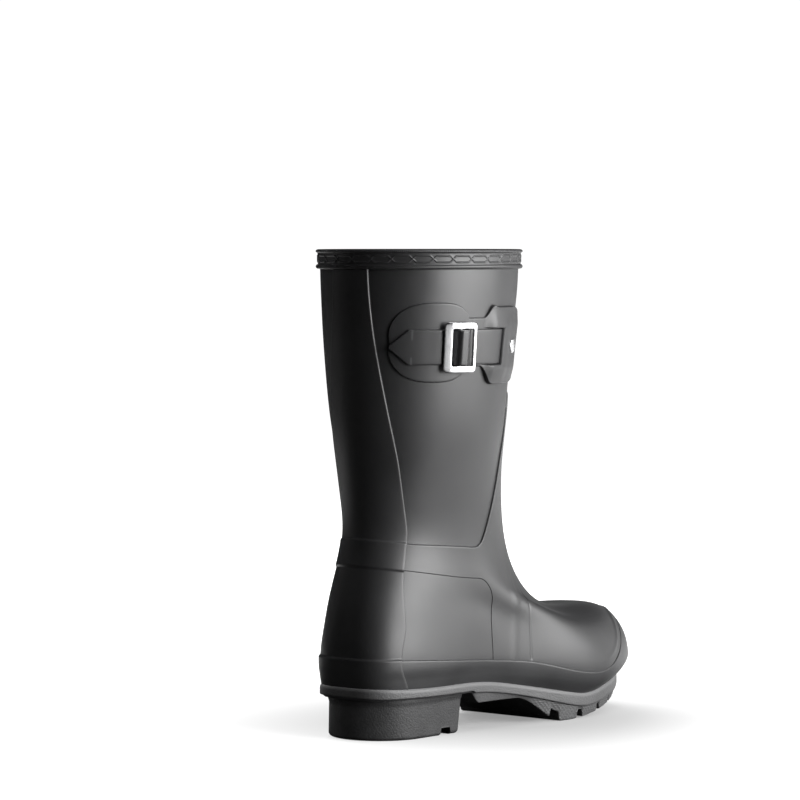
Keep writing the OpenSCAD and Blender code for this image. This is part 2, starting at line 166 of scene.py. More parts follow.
def ring_surface(u, angle):
    """Points on ring u, at an angle from the toe towards the inner side."""
    u, angle = np.broadcast_arrays(np.asarray(u, float), np.radians(angle))
    r = np.moveaxis(spline(RINGS, u), -1, 0)
    along = np.cos(angle)
    squareness = np.where(along < 0, r[6], r[7])
    across = np.sign(np.sin(angle)) * np.maximum(1 - np.abs(along) ** squareness, 0) ** (1 / squareness)
    t = (1 + along) / 2
    foot = 1 - ease(4, 9, u)
    sole = 1 - ease(0, 5, u)
    half = mix(r[4], r[5], ease(0.28, 0.7, t)) - 3 * foot * hump(t, 0.42, 0.13)
    middle = foot * (9 * (1 - ease(2, 5, u)) * ease(0.72, 1, t) - 5 * hump(t, 0.66, 0.18))
    arch = sole * (4 * hump(t, 0.33, 0.17) - 4.5 * hump(t, 0.72, 0.16))
    spring = (1 - ease(0, 2.5, u)) * (4.5 * ease(0.66, 0.82, t) + 9 * (np.maximum(t - 0.8, 0) / 0.2) ** 2)
    ankle = 5.5 * hump(t, 0.6, 0.17) * hump(u, 6.2, 0.8)
    instep = 6.5 * hump(t, 0.8, 0.12) * hump(u, 5, 0.75) + 4 * hump(t, 0.7, 0.1) * hump(u, 4.3, 0.6)
    height = mix(r[1], r[3], t) + arch + spring + ankle - instep
    return np.stack([mix(r[0], r[2], t), middle + half * across, height], -1)


def skin(u, angle):
    """Points of the upper's outer surface: the rings, evened out where they crowd together at the instep."""
    u = np.asarray(u, float)
    step = EVEN_STEP * ease(1, 3.5, u) * (1 - ease(9, 12, u))
    return sum(weight * ring_surface(u + k * step, angle) for k, weight in enumerate(EVEN_WEIGHTS, -2))


def unit(vectors):
    return vectors / np.linalg.norm(vectors, axis=-1, keepdims=True)


def outward(u, angle):
    """Outward directions of the surface."""
    around = skin(u, angle + 1) - skin(u, angle - 1)
    up = skin(np.minimum(u + 0.05, RIM), angle) - skin(np.maximum(u - 0.05, 0), angle)
    return unit(np.cross(around, up))


LEVEL_RINGS = np.linspace(JOIN, RIM, 600)
LEVEL_HEIGHTS = spline(RINGS, LEVEL_RINGS)[:, 1]


def level(z):
    """Ring number of the leg at the height z."""
    return np.interp(z, LEVEL_HEIGHTS, LEVEL_RINGS)


def angle_at(u, x):
    """Angle on ring u at which the surface is x in front of the leg's axis."""
    r = spline(RINGS, u)
    return np.degrees(np.arccos(np.clip(2 * (x - r[..., 0]) / (r[..., 2] - r[..., 0]) - 1, -1, 1)))


def strip_half_angle(u, extra=0.0):
    """Angle from straight back to the edge of the back strip on ring u."""
    r = spline(RINGS, u)
    half = 14 + 11 * ease(290, 165, r[..., 1]) + 5.5 * ease(125, 60, r[..., 1]) + extra
    across = np.minimum(half / r[..., 4], 0.999)
    return np.degrees(np.arccos((1 - across ** r[..., 6]) ** (1 / r[..., 6])))


def mudguard_top(angle):
    """Ring number of the mudguard's top edge: it dips at the ball and rises over the toe."""
    t = (1 + np.cos(np.radians(angle))) / 2
    return 2.4 - 0.45 * ease(0.05, 0.4, t) - 0.4 * ease(0.45, 0.65, t) + 2 * ease(0.7, 1, t)


def edge_point(angle, out, z):
    """Point on the outline of the lowest ring, moved outward in plan, at the height z."""
    p = skin(0.0, angle)
    along = skin(0.0, angle + 1) - skin(0.0, angle - 1)
    length = np.hypot(along[..., 0], along[..., 1])
    x = p[..., 0] + out * along[..., 1] / length
    y = p[..., 1] - out * along[..., 0] / length
    return np.stack(np.broadcast_arrays(x, y, z), -1)


# ---- Meshes ----

def grid_faces(rows, cols, wrap):
    j, i = np.meshgrid(np.arange(rows - 1), np.arange(cols if wrap else cols - 1), indexing="ij")
    k = (i + 1) % cols
    quads = [j * cols + i, j * cols + k, (j + 1) * cols + k, (j + 1) * cols + i]
    return np.stack(quads, -1).reshape(-1, 4)


def shell_faces(rows, cols, wrap):
    """Faces of a closed layer made of an outer grid, then an inner grid, of equal size."""
    size = rows * cols
    outer = grid_faces(rows, cols, wrap)
    i = np.arange(cols if wrap else cols - 1)
    k = (i + 1) % cols
    last = (rows - 1) * cols
    parts = [
        outer,
        outer[:, ::-1] + size,
        np.stack([k, i, i + size, k + size], -1),
        np.stack([last + i, last + k, last + k + size, last + i + size], -1),
    ]
    if not wrap:
        j = np.arange(rows - 1) * cols
        right = j + cols - 1
        parts.append(np.stack([j, j + cols, j + cols + size, j + size], -1))
        parts.append(np.stack([right + cols, right, right + size, right + cols + size], -1))
    return np.concatenate(parts)


def signed_volume(points, faces):
    a, b, c, d = (points[faces[:, k]] for k in range(4))
    return np.einsum("ij,ij->", a, np.cross(b, c)) + np.einsum("ij,ij->", a, np.cross(c, d))


def add_object(name, data):
    made = bpy.data.objects.new(name, data)
    bpy.context.scene.collection.objects.link(made)
    return made


def add_piece(name, points, faces, material, nodes, body="boot", weld=False):
    """Makes a closed, smooth mesh piece from points in millimetres, and lets it ride on a body."""
    if signed_volume(points, faces) < 0:
        faces = faces[:, ::-1]
    mesh = bpy.data.meshes.new(name)
    mesh.from_pydata((points * MM).tolist(), [], faces.tolist())
    if weld:
        work = bmesh.new()
        work.from_mesh(mesh)
        bmesh.ops.remove_doubles(work, verts=work.verts, dist=0.004 * MM)
        bmesh.ops.dissolve_degenerate(work, edges=work.edges, dist=0.001 * MM)
        work.to_mesh(mesh)
        work.free()
    mesh.validate()
    mesh.shade_smooth()
    mesh.materials.append(material)
    piece = add_object(name, mesh)
    if body:
        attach(piece, body)
    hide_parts(*nodes)
    return piece


# Places of the points near an edge, as shares of the width of its rounding
NEAR = np.array([0, 0.08, 0.3, 0.6])


def shares(length, edge, even):
    """Positions from 0 to 1 along lines of these lengths, crowded within `edge` of both their ends."""
    margin = edge / np.asarray(length, float)[..., None]
    middle = margin + (1 - 2 * margin) * np.linspace(0, 1, even)
    return np.concatenate([margin * NEAR, middle, 1 - margin * NEAR[::-1]], axis=-1)


def lengths(points, axis):
    """Distance of each point of a grid from the start of its line."""
    steps = np.linalg.norm(np.diff(points, axis=axis), axis=-1)
    zero = np.zeros_like(np.take(steps, [0], axis=axis))
    return np.concatenate([zero, np.cumsum(steps, axis=axis)], axis=axis)


def spots(place, cols, rows, edge, wrap):
    """Grids of ring numbers and angles over a patch, crowded near its edges."""
    p = np.linspace(0, 1, 49)
    q = np.linspace(0, 1, 17)
    rough = skin(*place(*np.meshgrid(p, q)))
    width = lengths(rough, 1)[:, -1]
    height = lengths(rough, 0)[-1]
    q_mean = shares(height.mean(), edge, rows)
    if wrap:
        p_grid = np.tile(np.linspace(0, 1, cols, endpoint=False), (len(q_mean), 1))
    else:
        p_grid = shares(np.interp(q_mean, q, width), edge, cols)
    p_mean = p_grid.mean(0)
    q_grid = shares(np.interp(p_mean, p, height), edge, rows).T
    return place(p_grid, q_grid)


def rounded(distance, radius):
    """Rise from 0 to 1 of a quarter circle of that radius."""
    return np.sqrt(1 - (1 - np.clip(distance / radius, 0, 1)) ** 2)


def edge_distances(base, wrap=False):
    """Distances of a grid's points from its lower edge, and from the nearest of its edges."""
    up, across = lengths(base, 0), lengths(base, 1)
    near = np.minimum(up, up[-1:] - up)
    return up, near if wrap else np.minimum(near, np.minimum(across, across[:, -1:] - across))


def layer(place, cols, rows, thick, edge, low=-EMBED, wrap=False, relief=None):
    """Outer and inner grids of a rubber layer with rounded edges. relief(points, angle, u, up) adds to
    the height, where `up` is the distance from the lower edge."""
    u, angle = spots(place, cols, rows, edge, wrap)
    base = skin(u, angle)
    normal = outward(u, angle)
    up, near = edge_distances(base, wrap)
    height = max(low, 0) + (thick - max(low, 0)) * rounded(near, edge)
    if relief:
        height = height + relief(base, angle, u, up) * rounded(near, edge)
    return base + height[..., None] * normal, base + low * normal


def add_layer(name, grids, material, nodes, wrap=False, body="boot"):
    outer, inner = grids
    points = np.concatenate([outer.reshape(-1, 3), inner.reshape(-1, 3)])
    return add_piece(name, points, shell_faces(*outer.shape[:2], wrap), material, nodes, body)


def add_rings(name, rings, material, nodes, body="boot", close=False):
    """A solid through rings with equal numbers of points; `close` joins the last ring to the first."""
    grid = np.stack(rings)
    rows, cols = grid.shape[:2]
    faces = grid_faces(rows + close, cols, True) % (rows * cols)
    return add_piece(name, grid.reshape(-1, 3), faces, material, nodes, body, not close)


# ---- Materials ----

class Paint:
    """A node material with a Principled shader and short ways to add textures."""

    def __init__(self, name, **values):
        self.material = bpy.data.materials.new(name)
        self.material.use_nodes = True
        self.tree = self.material.node_tree
        self.shader = self.tree.nodes["Principled BSDF"]
        for key, value in values.items():
            self.shader.inputs[key.replace("_", " ")].default_value = value

    def node(self, kind, **values):
        made = self.tree.nodes.new("ShaderNode" + kind)
        for key, value in values.items():
            name = key.replace("_", " ")
            if name in made.inputs:
                made.inputs[name].default_value = value
            else:
                setattr(made, key, value)
        return made

    def link(self, source, target):
        self.tree.links.new(source, target)

    def place(self):
        return self.node("NewGeometry").outputs["Position"]

    def way(self, vector, kind="DOT_PRODUCT"):
        """How far a point lies along a direction, or from a point."""
        made = self.node("VectorMath", operation=kind)
        made.inputs[1].default_value = vector
        self.link(self.place(), made.inputs[0])
        return made.outputs["Value"]

    def noise(self, scale, detail=3.0, roughness=0.5):
        """Noise whose scale is a number of features per metre."""
        made = self.node("TexNoise", Scale=scale, Detail=detail, Roughness=roughness)
        self.link(self.place(), made.inputs["Vector"])
        return made.outputs["Fac"]

    def band(self, source, low, high, to_low, to_high):
        """Maps a value between two limits to two others."""
        made = self.node("MapRange", From_Min=low, From_Max=high, To_Min=to_low, To_Max=to_high)
        self.link(source, made.inputs["Value"])
        return made.outputs["Result"]

    def math(self, kind, a, b):
        made = self.node("Math", operation=kind)
        for value, socket in zip((a, b), made.inputs):
            if isinstance(value, (int, float)):
                socket.default_value = value
            else:
                self.link(value, socket)
        return made.outputs["Value"]

    def times(self, a, b):
        return self.math("MULTIPLY", a, b)

    def plus(self, a, b):
        return self.math("ADD", a, b)

    def blend(self, factor, dark, light):
        made = self.node("Mix", data_type="RGBA")
        made.inputs["A"].default_value = (*dark, 1)
        made.inputs["B"].default_value = (*light, 1)
        self.link(factor, made.inputs["Factor"])
        return made.outputs["Result"]

    def colour(self, source):
        self.link(source, self.shader.inputs["Base Color"])

    def roughness(self, source):
        self.link(source, self.shader.inputs["Roughness"])

    def bump(self, *layers):
        """Stacks bumps, each given as (height source, depth in millimetres)."""
        last = None
        for source, depth in layers:
            made = self.node("Bump", Strength=1.0, Distance=depth * MM)
            self.link(source, made.inputs["Height"])
            if last:
                self.link(last, made.inputs["Normal"])
            last = made.outputs["Normal"]
        self.link(last, self.shader.inputs["Normal"])


def upper_rubber():
    """Satin black rubber: a very fine grain, faint cloudiness in its sheen, and sharp edges painted paler,
    partly as wear and partly as a painted highlight where the edges catch the light.
    """
    paint = Paint("upper_rubber", Specular_IOR_Level=0.5)
    clouds = paint.noise(28, 4)
    grain = paint.noise(2600, 2)
    # Convex edges are painted paler: partly edge wear, and partly a painted highlight standing in for light
    # caught on rounded edges.
    edge_wear_and_highlight = paint.band(paint.node("NewGeometry").outputs["Pointiness"], 0.53, 0.62, 0, 1)
    mottle_and_edge_highlight = paint.plus(paint.times(clouds, 0.3), paint.times(edge_wear_and_highlight, 0.7))
    paint.colour(paint.blend(mottle_and_edge_highlight, (0.012, 0.012, 0.0125), (0.05, 0.05, 0.052)))
    paint.roughness(paint.band(clouds, 0.3, 0.7, 0.38, 0.44))
    paint.bump((paint.noise(60, 3), 0.05), (grain, 0.012))
    return paint.material


def sole_rubber(name, sheen, top_dust_and_light_share):
    """Moulded black rubber with a fine pebbled skin, some dust, and upward faces painted paler as settled
    dust and as painted light from above.
    """
    paint = Paint(name, Specular_IOR_Level=sheen)
    pebbles = paint.node("TexVoronoi", Scale=1100.0, feature="SMOOTH_F1")
    paint.link(paint.place(), pebbles.inputs["Vector"])
    dust = paint.noise(90, 5, 0.6)
    # Faces are painted paler the more they face up: partly settled dust, and partly painted light from
    # above.
    parts = paint.node("SeparateXYZ")
    paint.link(paint.node("NewGeometry").outputs["Normal"], parts.inputs["Vector"])
    top_dust_and_light = paint.times(paint.band(parts.outputs["Z"], -0.1, 0.8, 0.25, 1), top_dust_and_light_share)
    tone = paint.plus(paint.times(dust, 0.25), paint.times(top_dust_and_light, 0.75))
    paint.colour(paint.blend(tone, (0.012, 0.012, 0.0125), (0.14, 0.14, 0.142)))
    paint.roughness(paint.band(dust, 0.3, 0.7, 0.5, 0.6))
    paint.bump((paint.noise(500, 3), 0.12), (pebbles.outputs["Distance"], -0.16))
    return paint.material


def lining_knit():
    """Grey knitted lining: columns of small loops."""
    paint = Paint("lining_knit", Roughness=0.9, Sheen_Weight=0.35, Sheen_Roughness=0.5)
    parts = paint.node("SeparateXYZ")
    paint.link(paint.place(), parts.inputs["Vector"])
    around = paint.math("ARCTAN2", parts.outputs["Y"], parts.outputs["X"])
    columns = paint.math("SINE", paint.times(around, 260.0), 0.0)
    slant = paint.times(columns, 0.9)
    rows = paint.times(parts.outputs["Z"], 4200.0)
    courses = paint.math("SINE", paint.plus(rows, slant), 0.0)
    loops = paint.times(paint.plus(columns, 1.3), paint.plus(courses, 1.3))
    fuzz = paint.noise(1800, 3)
    tone = paint.plus(paint.band(loops, 0, 5, 0, 0.7), paint.times(fuzz, 0.3))
    paint.colour(paint.blend(tone, (0.075, 0.077, 0.08), (0.24, 0.245, 0.25)))
    paint.bump((loops, 0.08), (fuzz, 0.05))
    return paint.material


def insole_felt():
    """Grey felt on foam, with matted fibres."""
    paint = Paint("insole_felt", Roughness=0.95, Sheen_Weight=0.5, Sheen_Roughness=0.6)
    fibres = paint.noise(1500, 6, 0.7)
    patches = paint.noise(60, 3)
    tone = paint.plus(paint.times(fibres, 0.6), paint.times(patches, 0.4))
    paint.colour(paint.blend(tone, (0.07, 0.072, 0.075), (0.22, 0.225, 0.23)))
    paint.bump((fibres, 0.12))
    return paint.material


def board_fibre():
    """Pressed fibre board."""
    paint = Paint("board_fibre", Roughness=0.85)
    fibres = paint.noise(900, 6, 0.75)
    paint.colour(paint.blend(fibres, (0.24, 0.17, 0.1), (0.5, 0.4, 0.27)))
    paint.bump((fibres, 0.08))
    return paint.material


def shank_steel():
    """Plain spring steel with fine rolling marks."""
    paint = Paint("shank_steel", Metallic=1.0, Roughness=0.35)
    marks = paint.noise(400, 4)
    paint.colour(paint.blend(marks, (0.42, 0.43, 0.45), (0.62, 0.63, 0.65)))
    paint.roughness(paint.band(marks, 0.3, 0.7, 0.28, 0.42))
    return paint.material


def buckle_chrome():
    """Bright plated metal with faint hazing and hairline scratches."""
    paint = Paint("buckle_chrome", Metallic=1.0)
    haze = paint.noise(220, 4)
    paint.colour(paint.blend(haze, (0.6, 0.6, 0.61), (0.8, 0.8, 0.81)))
    paint.roughness(paint.band(haze, 0.3, 0.75, 0.1, 0.26))
    paint.bump((paint.noise(700, 2), 0.02))
    return paint.material


RUBBER = upper_rubber()
SOLE = sole_rubber("sole_rubber", 0.5, 1.0)
HEEL = sole_rubber("heel_rubber", 0.25, 0.1)
KNIT = lining_knit()
FELT = insole_felt()
BOARD = board_fibre()
STEEL = shank_steel()
CHROME = buckle_chrome()


# ---- Leg and foot sheets, and their linings ----

def tube(low, high, cols, rows, *depths):
    """Grids of a layer all around the boot, between two rings."""
    return layer(lambda p, q: (mix(low, high, q), 360 * p), cols, rows, *depths, wrap=True)


def add_sheet(node, low, high, cols):
    """Rubber sheet of the upper."""
    add_layer(node + "_rubber", tube(low, high, cols, 90, 0, 0.4, -WALL), RUBBER, [node], wrap=True)


def add_lining(node, low, high, cols, depth):
    """Knitted lining, whose inner face lies `depth` inside the rubber sheet."""
    outside = -WALL - 2 * GAP
    outer, inner = tube(low, high, cols, 60, outside, 0.3, outside - depth)
    thickness = np.linalg.norm(inner - outer, axis=-1, keepdims=True)
    grids = inner - unit(inner - outer) * np.minimum(thickness, LINING), inner
    add_layer(node + "_knit", grids, KNIT, [node], wrap=True)


# ---- Overlays on the upper ----

# The heel window's front, and its corner's radii along the foot and in rings
WINDOW_X = 25
WINDOW_ANGLE = 83
WINDOW_ROUND = (13, 1.67)
# Rings between which the ankle band lies
BAND_LOW = 7.15
BAND_HIGH = 8.5
# Angles between which the tongue's side rises, its rise in rings, and the line to its foot
TONGUE_FOOT = 82.5
TONGUE_TIP = 41.5
TONGUE_RISE = 3.7
TONGUE_LINE = 62
# How far layers reach under the back strip, and in rings under each other
TUCK = 1.6
TUCK_RINGS = 0.12


def bent(x):
    """Straight slope that starts with a soft bend at 0."""
    return 2 * np.logaddexp(0, x / 2)


def overlay_top(angle):
    """Ring number of the overlay's top edge: a band around the ankle that rises to a tongue on the shin."""
    slope = (bent(TONGUE_FOOT - angle) - bent(TONGUE_TIP - angle)) / (TONGUE_FOOT - TONGUE_TIP)
    return BAND_HIGH + 0.12 * ease(150, 90, angle) + TONGUE_RISE * slope


def lean(u):
    """Degrees by which the front of the heel window lies behind WINDOW_ANGLE on ring u."""
    return angle_at(u, WINDOW_X) - WINDOW_ANGLE


def to_line(u, angle):
    """Name of the upright line through a point; the front of the heel window is one such line."""
    return angle - lean(u) * np.sin(np.radians(angle))


def from_line(u, line):
    """Angle at which a line crosses ring u."""
    angle = line
    for _ in range(12):
        angle = line + lean(u) * np.sin(np.radians(angle))
    return angle


def guard_edge(angle):
    """Lower edge of the overlay: tucked under the mudguard, and butted against it over the toe."""
    return mudguard_top(angle) + mix(0.045, -TUCK_RINGS, ease(52, 66, angle))


def overlay_low():
    """Lower edge of the overlay on one side, from the back strip to the toe: along the ankle band,
    round a corner, down the front of the heel window and forward along the mudguard."""
    along, down = WINDOW_ROUND
    start = 180 - strip_half_angle(BAND_LOW, -TUCK)
    turn = turns(0, 90, 24)
    turn_u = BAND_LOW - down * (1 - np.cos(turn))
    turn_angle = angle_at(turn_u, WINDOW_X - along * (1 - np.sin(turn)))
    foot_angle = angle_at(np.array(2.1), WINDOW_X)
    down_u = np.linspace(turn_u[-1], guard_edge(foot_angle), 30)
    forward = np.linspace(foot_angle, 0, 140)
    u = [np.full(20, BAND_LOW), turn_u, down_u, guard_edge(forward)]
    angle = [np.linspace(start, turn_angle[0], 20), turn_angle, angle_at(down_u, WINDOW_X), forward]
    return u, angle


def overlay_curves():
    """Shares of the length, with a finer mesh at the seam and the ridge, and the ring numbers and lines
    of the lower edge and of the upper edge."""
    u, angle = overlay_low()
    lines = [to_line(a, b) for a, b in zip(u, angle)]
    start = to_line(BAND_HIGH, 180 - strip_half_angle(BAND_HIGH, -TUCK))
    high_lines = np.concatenate([
        np.linspace(start, lines[1][0], len(lines[0])), lines[1],
        np.linspace(lines[1][-1], TONGUE_LINE, len(lines[2])), TONGUE_LINE * lines[3] / lines[3][0],
    ])
    u, angle, lines = np.concatenate(u), np.concatenate(angle), np.concatenate(lines)
    points = skin(u, angle)
    steps = np.linalg.norm(np.diff(points, axis=0), axis=1)
    finer = 1 + 2.5 * hump((points[1:, 0] + points[:-1, 0]) / 2, 54, 9)
    share = np.concatenate([[0], np.cumsum(steps * finer + 1e-6)])
    table = np.linspace(0, 180, 721)
    high_angle = np.interp(high_lines, to_line(overlay_top(table), table), table)
    return share / share[-1], (u, lines), (overlay_top(high_angle), high_lines)


def overlay_place():
    share, low, high = overlay_curves()

    def place(p, q):
        half = 1 - np.abs(2 * p - 1)
        side = np.where(p < 0.5, -1.0, 1.0)
        rise = q ** 1.6
        u = mix(np.interp(half, share, low[0]), np.interp(half, share, high[0]), rise)
        line = mix(np.interp(half, share, low[1]), np.interp(half, share, high[1]), rise)
        return u, side * from_line(u, line)

    return place


def overlay_relief(points, angle, u, up):
    """A seam and a soft ridge on each side of the foot, and the edge of the stiffener over the toe."""
    x, z = points[..., 0], points[..., 2]
    above = z - skin(mudguard_top(angle), angle)[..., 2]
    seam = -0.35 * hump(x, 58.5, 0.8) * (1 - ease(80, 88, z)) * ease(0, 2, above)
    ridge = 0.45 * hump(x, 45.5 + 0.05 * (z - 60), 3.2) * (1 - ease(88, 106, z))
    front = 1 - ease(45, 72, np.abs(angle))
    crease = (0.55 * hump(up, 8, 1.9) + 0.25 * ease(9, 7, up)) * front
    return seam + ridge + crease


def add_overlay():
    grids = layer(overlay_place(), 560, 100, LAYER, 0.9, relief=overlay_relief)
    add_layer("vamp_overlay_rubber", grids, RUBBER, ["vamp_overlay"])


def add_counters():
    """The two halves of the heel counter, tucked under the overlay, the mudguard and the back strip."""
    grids = []
    for sign in (-1, 1):
        def place(p, q, sign=sign):
            rough = mix(2, BAND_LOW + TUCK_RINGS, q)
            angle = mix(180 - strip_half_angle(rough, -TUCK), angle_at(rough, WINDOW_X + 2), p)
            return mix(mudguard_top(angle) - 0.15, BAND_LOW + TUCK_RINGS, q), sign * angle
        grids.append(layer(place, 70, 50, 0.85, 0.5))
    points = np.concatenate([g.reshape(-1, 3) for pair in grids for g in pair])
    faces = shell_faces(*grids[0][0].shape[:2], False)
    mirrored = faces[:, ::-1] + 2 * grids[0][0].shape[0] * grids[0][0].shape[1]
    add_piece("heel_counter_rubber", points, np.concatenate([faces, mirrored]), RUBBER, ["heel_counter"])


MUDGUARD_T = 1.75


def add_mudguard():
    span = 180 - strip_half_angle(np.array(1.2), -TUCK)

    def place(p, q):
        angle = mix(-span, span, p)
        return mix(0.02, mudguard_top(angle), q), angle

    def relief(points, angle, u, up):
        return -0.4 * (1 - ease(50, 75, np.abs(angle)))

    grids = layer(place, 460, 34, MUDGUARD_T, 0.8, relief=relief)
    add_layer("mudguard_rubber", grids, RUBBER, ["mudguard"])


def strip_relief(points, angle, u, up):
    """The ankle band and the mudguard push the back strip out where it covers them."""
    band = ease(BAND_LOW - 0.07, BAND_LOW + 0.05, u) * (1 - ease(BAND_HIGH - 0.02, BAND_HIGH + 0.1, u))
    guard = 1 - ease(2.34, 2.48, u)
    return 0.75 * band + 1.1 * guard


def add_back_strip():
    def place(p, q):
        u = mix(0.02, level(RIM_H - BINDING_H) + 0.04, q)
        return u, 180 + (2 * p - 1) * strip_half_angle(u)

    grids = layer(place, 60, 330, LAYER + 0.15, 0.9, relief=strip_relief)
    add_layer("back_strip_rubber", grids, RUBBER, ["back_strip"])


# ---- Binding around the rim ----

# Hexagons around the rim, the angle at which one starts, a hexagon's half height and slanted ends'
# length, the ridges' height, and the middle and half height of their field
BINDING_CELLS = 31
BINDING_START = 220
HEXAGON_HALF = 1.95
HEXAGON_END = 2.1
RIDGE = 0.45
FIELD_Z = -5.45
FIELD_HALF = 3.2


def binding_profile():
    """Cross-section of the binding as heights below the rim and distances out from the leg. It starts
    inside the leg, folds over the rim and comes down the outside: bead, groove, field, groove, bead."""
    def bead(middle, depth, radius, start, end, count):
        turn = np.linspace(start, end, count)
        return [(middle - depth * math.cos(a), 1.0 + radius * math.sin(a)) for a in turn]

    inside = -WALL - LINING - 2 * GAP
    fold = [(-4.2, inside + 0.1), (-4.2, inside - 0.55), (-3.6, inside - 0.8), (-0.4, inside - 0.8),
            (0.1, inside - 0.5), (0.35, inside + 0.2), (0.4, -1.0), (0.4, 0.9)]
    upper = bead(-0.75, -1.05, 1.4, 0.3, math.pi - 0.35, 9)
    field = [(z, 1.35) for z in np.linspace(-2.35, -8.55, 30)]
    lower = bead(-10.3, -1.45, 1.5, math.pi - 0.3, -0.05, 10)
    end = [(-11.9, 0.5), (-11.85, -0.3), (-6, -0.3)]
    return np.array(fold + upper + field + lower + end)


def binding_relief(z, out, s, pitch):
    """Hexagons in the field, meeting at their points, and fine teeth on the two beads."""
    if out < 1.2:
        return np.zeros_like(s)
    v = abs(z - FIELD_Z)
    along = np.abs((s / pitch) % 1 - 0.5) * pitch
    outline = HEXAGON_HALF * np.clip((pitch / 2 - along) / HEXAGON_END, 0, 1)
    ridge = RIDGE * hump(v, outline, 0.42) * (v < FIELD_HALF)
    teeth = 0.1 * np.sin(2 * np.pi * s / 1.2) * (z > -1.8)
    slanted = 0.16 * np.sin(2 * np.pi * (s + 0.8 * (z + 10.3)) / 1.3) * (z < -8.9)
    return ridge + teeth + slanted


def add_binding():
    cols = 1320
    angle = circle(cols)
    rim_line = skin(float(RIM), angle)
    around = np.linalg.norm(np.diff(rim_line, axis=0, append=rim_line[:1]), axis=1)
    s = np.concatenate([[0], np.cumsum(around)[:-1]])
    s = s - np.interp(BINDING_START, angle, s)
    pitch = around.sum() / BINDING_CELLS
    rings = []
    for z, out in binding_profile():
        u = np.full(cols, level(min(RIM_H + z, RIM_H)))
        base = skin(u, angle)
        normal = outward(u, angle)
        base[:, 2] = RIM_H + z
        height = out + binding_relief(z, out, s, pitch)
        rings.append(base + height[:, None] * normal)
    add_rings("top_binding_rubber", rings, RUBBER, ["top_binding"], close=True)


# ---- Strap, its patch and its keeper ----

def around_leg(start, end, half, middle=lambda angle: STRAP_Z):
    """Strip of the leg around the strap's centre line, between two angles on the outer side."""
    def place(p, q):
        angle = mix(start, end, p)
        return level(middle(angle) + (2 * q - 1) * half(angle)), -angle
    return place


# Angle and half height of the patch's oval lobe, half heights of its neck and squarer lobe, and its end
LOBE_ANGLE = 125
LOBE_HALF = 24.4
NECK_HALF = 15
SQUARE_HALF = 24
PATCH_END = 45


def patch_half(angle):
    """Half height of the base patch."""
    back = np.clip((angle - LOBE_ANGLE) / 28.6, 0, 0.99)
    front = np.clip((LOBE_ANGLE - angle) / 22, 0, 0.97)
    lobe = LOBE_HALF * np.where(angle > LOBE_ANGLE, (1 - back**2.5) ** 0.4, (1 - front**3) ** (1 / 3))
    end = np.sqrt(1 - (np.clip(66 - angle, 0, 21.5) / 23) ** 2)
    square = mix(NECK_HALF, SQUARE_HALF, ease(94.5, 86.5, angle)) * end
    return np.where(angle > 105.5, np.maximum(lobe, NECK_HALF * (angle < LOBE_ANGLE)), square)


def patch_middle(angle):
    """Height of the middle of the base patch, whose oval lobe sits a little higher."""
    return STRAP_Z + mix(0.6, 2.7, ease(84, 90, angle))


def add_strap_base():
    place = around_leg(TIP_ANGLE + 0.2, PATCH_END, patch_half, patch_middle)
    grids = layer(place, 230, 60, BASE_T + 0.05, 0.9)
    add_layer("strap_base_rubber", grids, RUBBER, ["strap_base"])


# The keeper: angles of its slot and ends, its rim's inset and rise, its wall and its greatest height
SLOT_ANGLE = 79
KEEPER_BACK = 95
KEEPER_FRONT = 45.4
KEEPER_RIM = 0.15
KEEPER_WALL = 1
KEEPER_TOP = 4


def keeper_height(angle, v):
    """Height of the keeper above the leg: it swells over the strap and thins out towards its outline."""
    full = BASE_T + STRAP_T + 2 * GAP + KEEPER_WALL + 0.7 * ease(69, 76, angle)
    along = ease(KEEPER_BACK - 1, 86, angle) * mix(1, 0.2, ease(60, 46, angle))
    across = mix(1, 0.45, ease(12, 23, v))
    return mix(BASE_T + KEEPER_RIM, full, along * across)


def add_keeper():
    """Raised plate with a channel for the strap, which ends at the slot."""
    def relief(points, angle, u, up):
        v = np.abs(points[..., 2] - STRAP_Z)
        channel = 1 - ease(STRAP_W / 2 + 0.35, STRAP_W / 2 + 0.75, v)
        inside = channel * ease(SLOT_ANGLE - 0.25, SLOT_ANGLE + 0.25, -angle)
        return mix(keeper_height(-angle, v), BASE_T - 0.2, inside) - KEEPER_TOP

    def half(angle):
        return patch_half(angle) - KEEPER_RIM

    place = around_leg(KEEPER_BACK, KEEPER_FRONT, half, patch_middle)
    grids = layer(place, 190, 130, KEEPER_TOP, 0.7, relief=relief)
    add_layer("strap_keeper_rubber", grids, RUBBER, ["strap_keeper"])


# Degrees over which the strap narrows to its tip
TIP_SPAN = 12


def strap_rise(angle):
    """How far the strap rises to pass over the buckle's pin and under both its side bars."""
    d = angle - BUCKLE_ANGLE
    share = np.where(d > 0, d / 5.4, np.maximum(-2.2 - d, 0) / 5.6)
    top = (PIN_OUT + PIN_R + 1 - BASE_T - GAP) * (1 + np.cos(np.minimum(share, 1) * np.pi)) / 2
    return np.maximum(top, 0.3 * ease(18, 9, d) * (d > 0))


def strap_half(angle):
    point = np.clip((TIP_ANGLE - angle) / TIP_SPAN, 0, 1)
    return STRAP_W / 2 * np.minimum(0.06 + 0.97 * point, 1)


def add_strap():
    """One strap from under the keeper to the pointed tip. Beyond the buckle it bends away from the leg."""
    low = BASE_T + GAP
    place = around_leg(TIP_ANGLE, RIVET_ANGLE - 6, strap_half)
    u, angle = spots(place, 300, 26, 0.6, False)
    base = skin(u, angle)
    normal = outward(u, angle)
    near = edge_distances(base)[1]
    rise = strap_rise(-angle)
    crown = 0.12 * rounded(near, 5.0)
    height = low + rise + (STRAP_T - 0.1) * (0.35 + 0.65 * rounded(near, 0.6)) + crown
    grids = base + height[..., None] * normal, base + (low + rise)[..., None] * normal
    strap = add_layer("strap_rubber", grids, RUBBER, ["strap", "strap_tail"], body=None)
    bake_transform(strap)


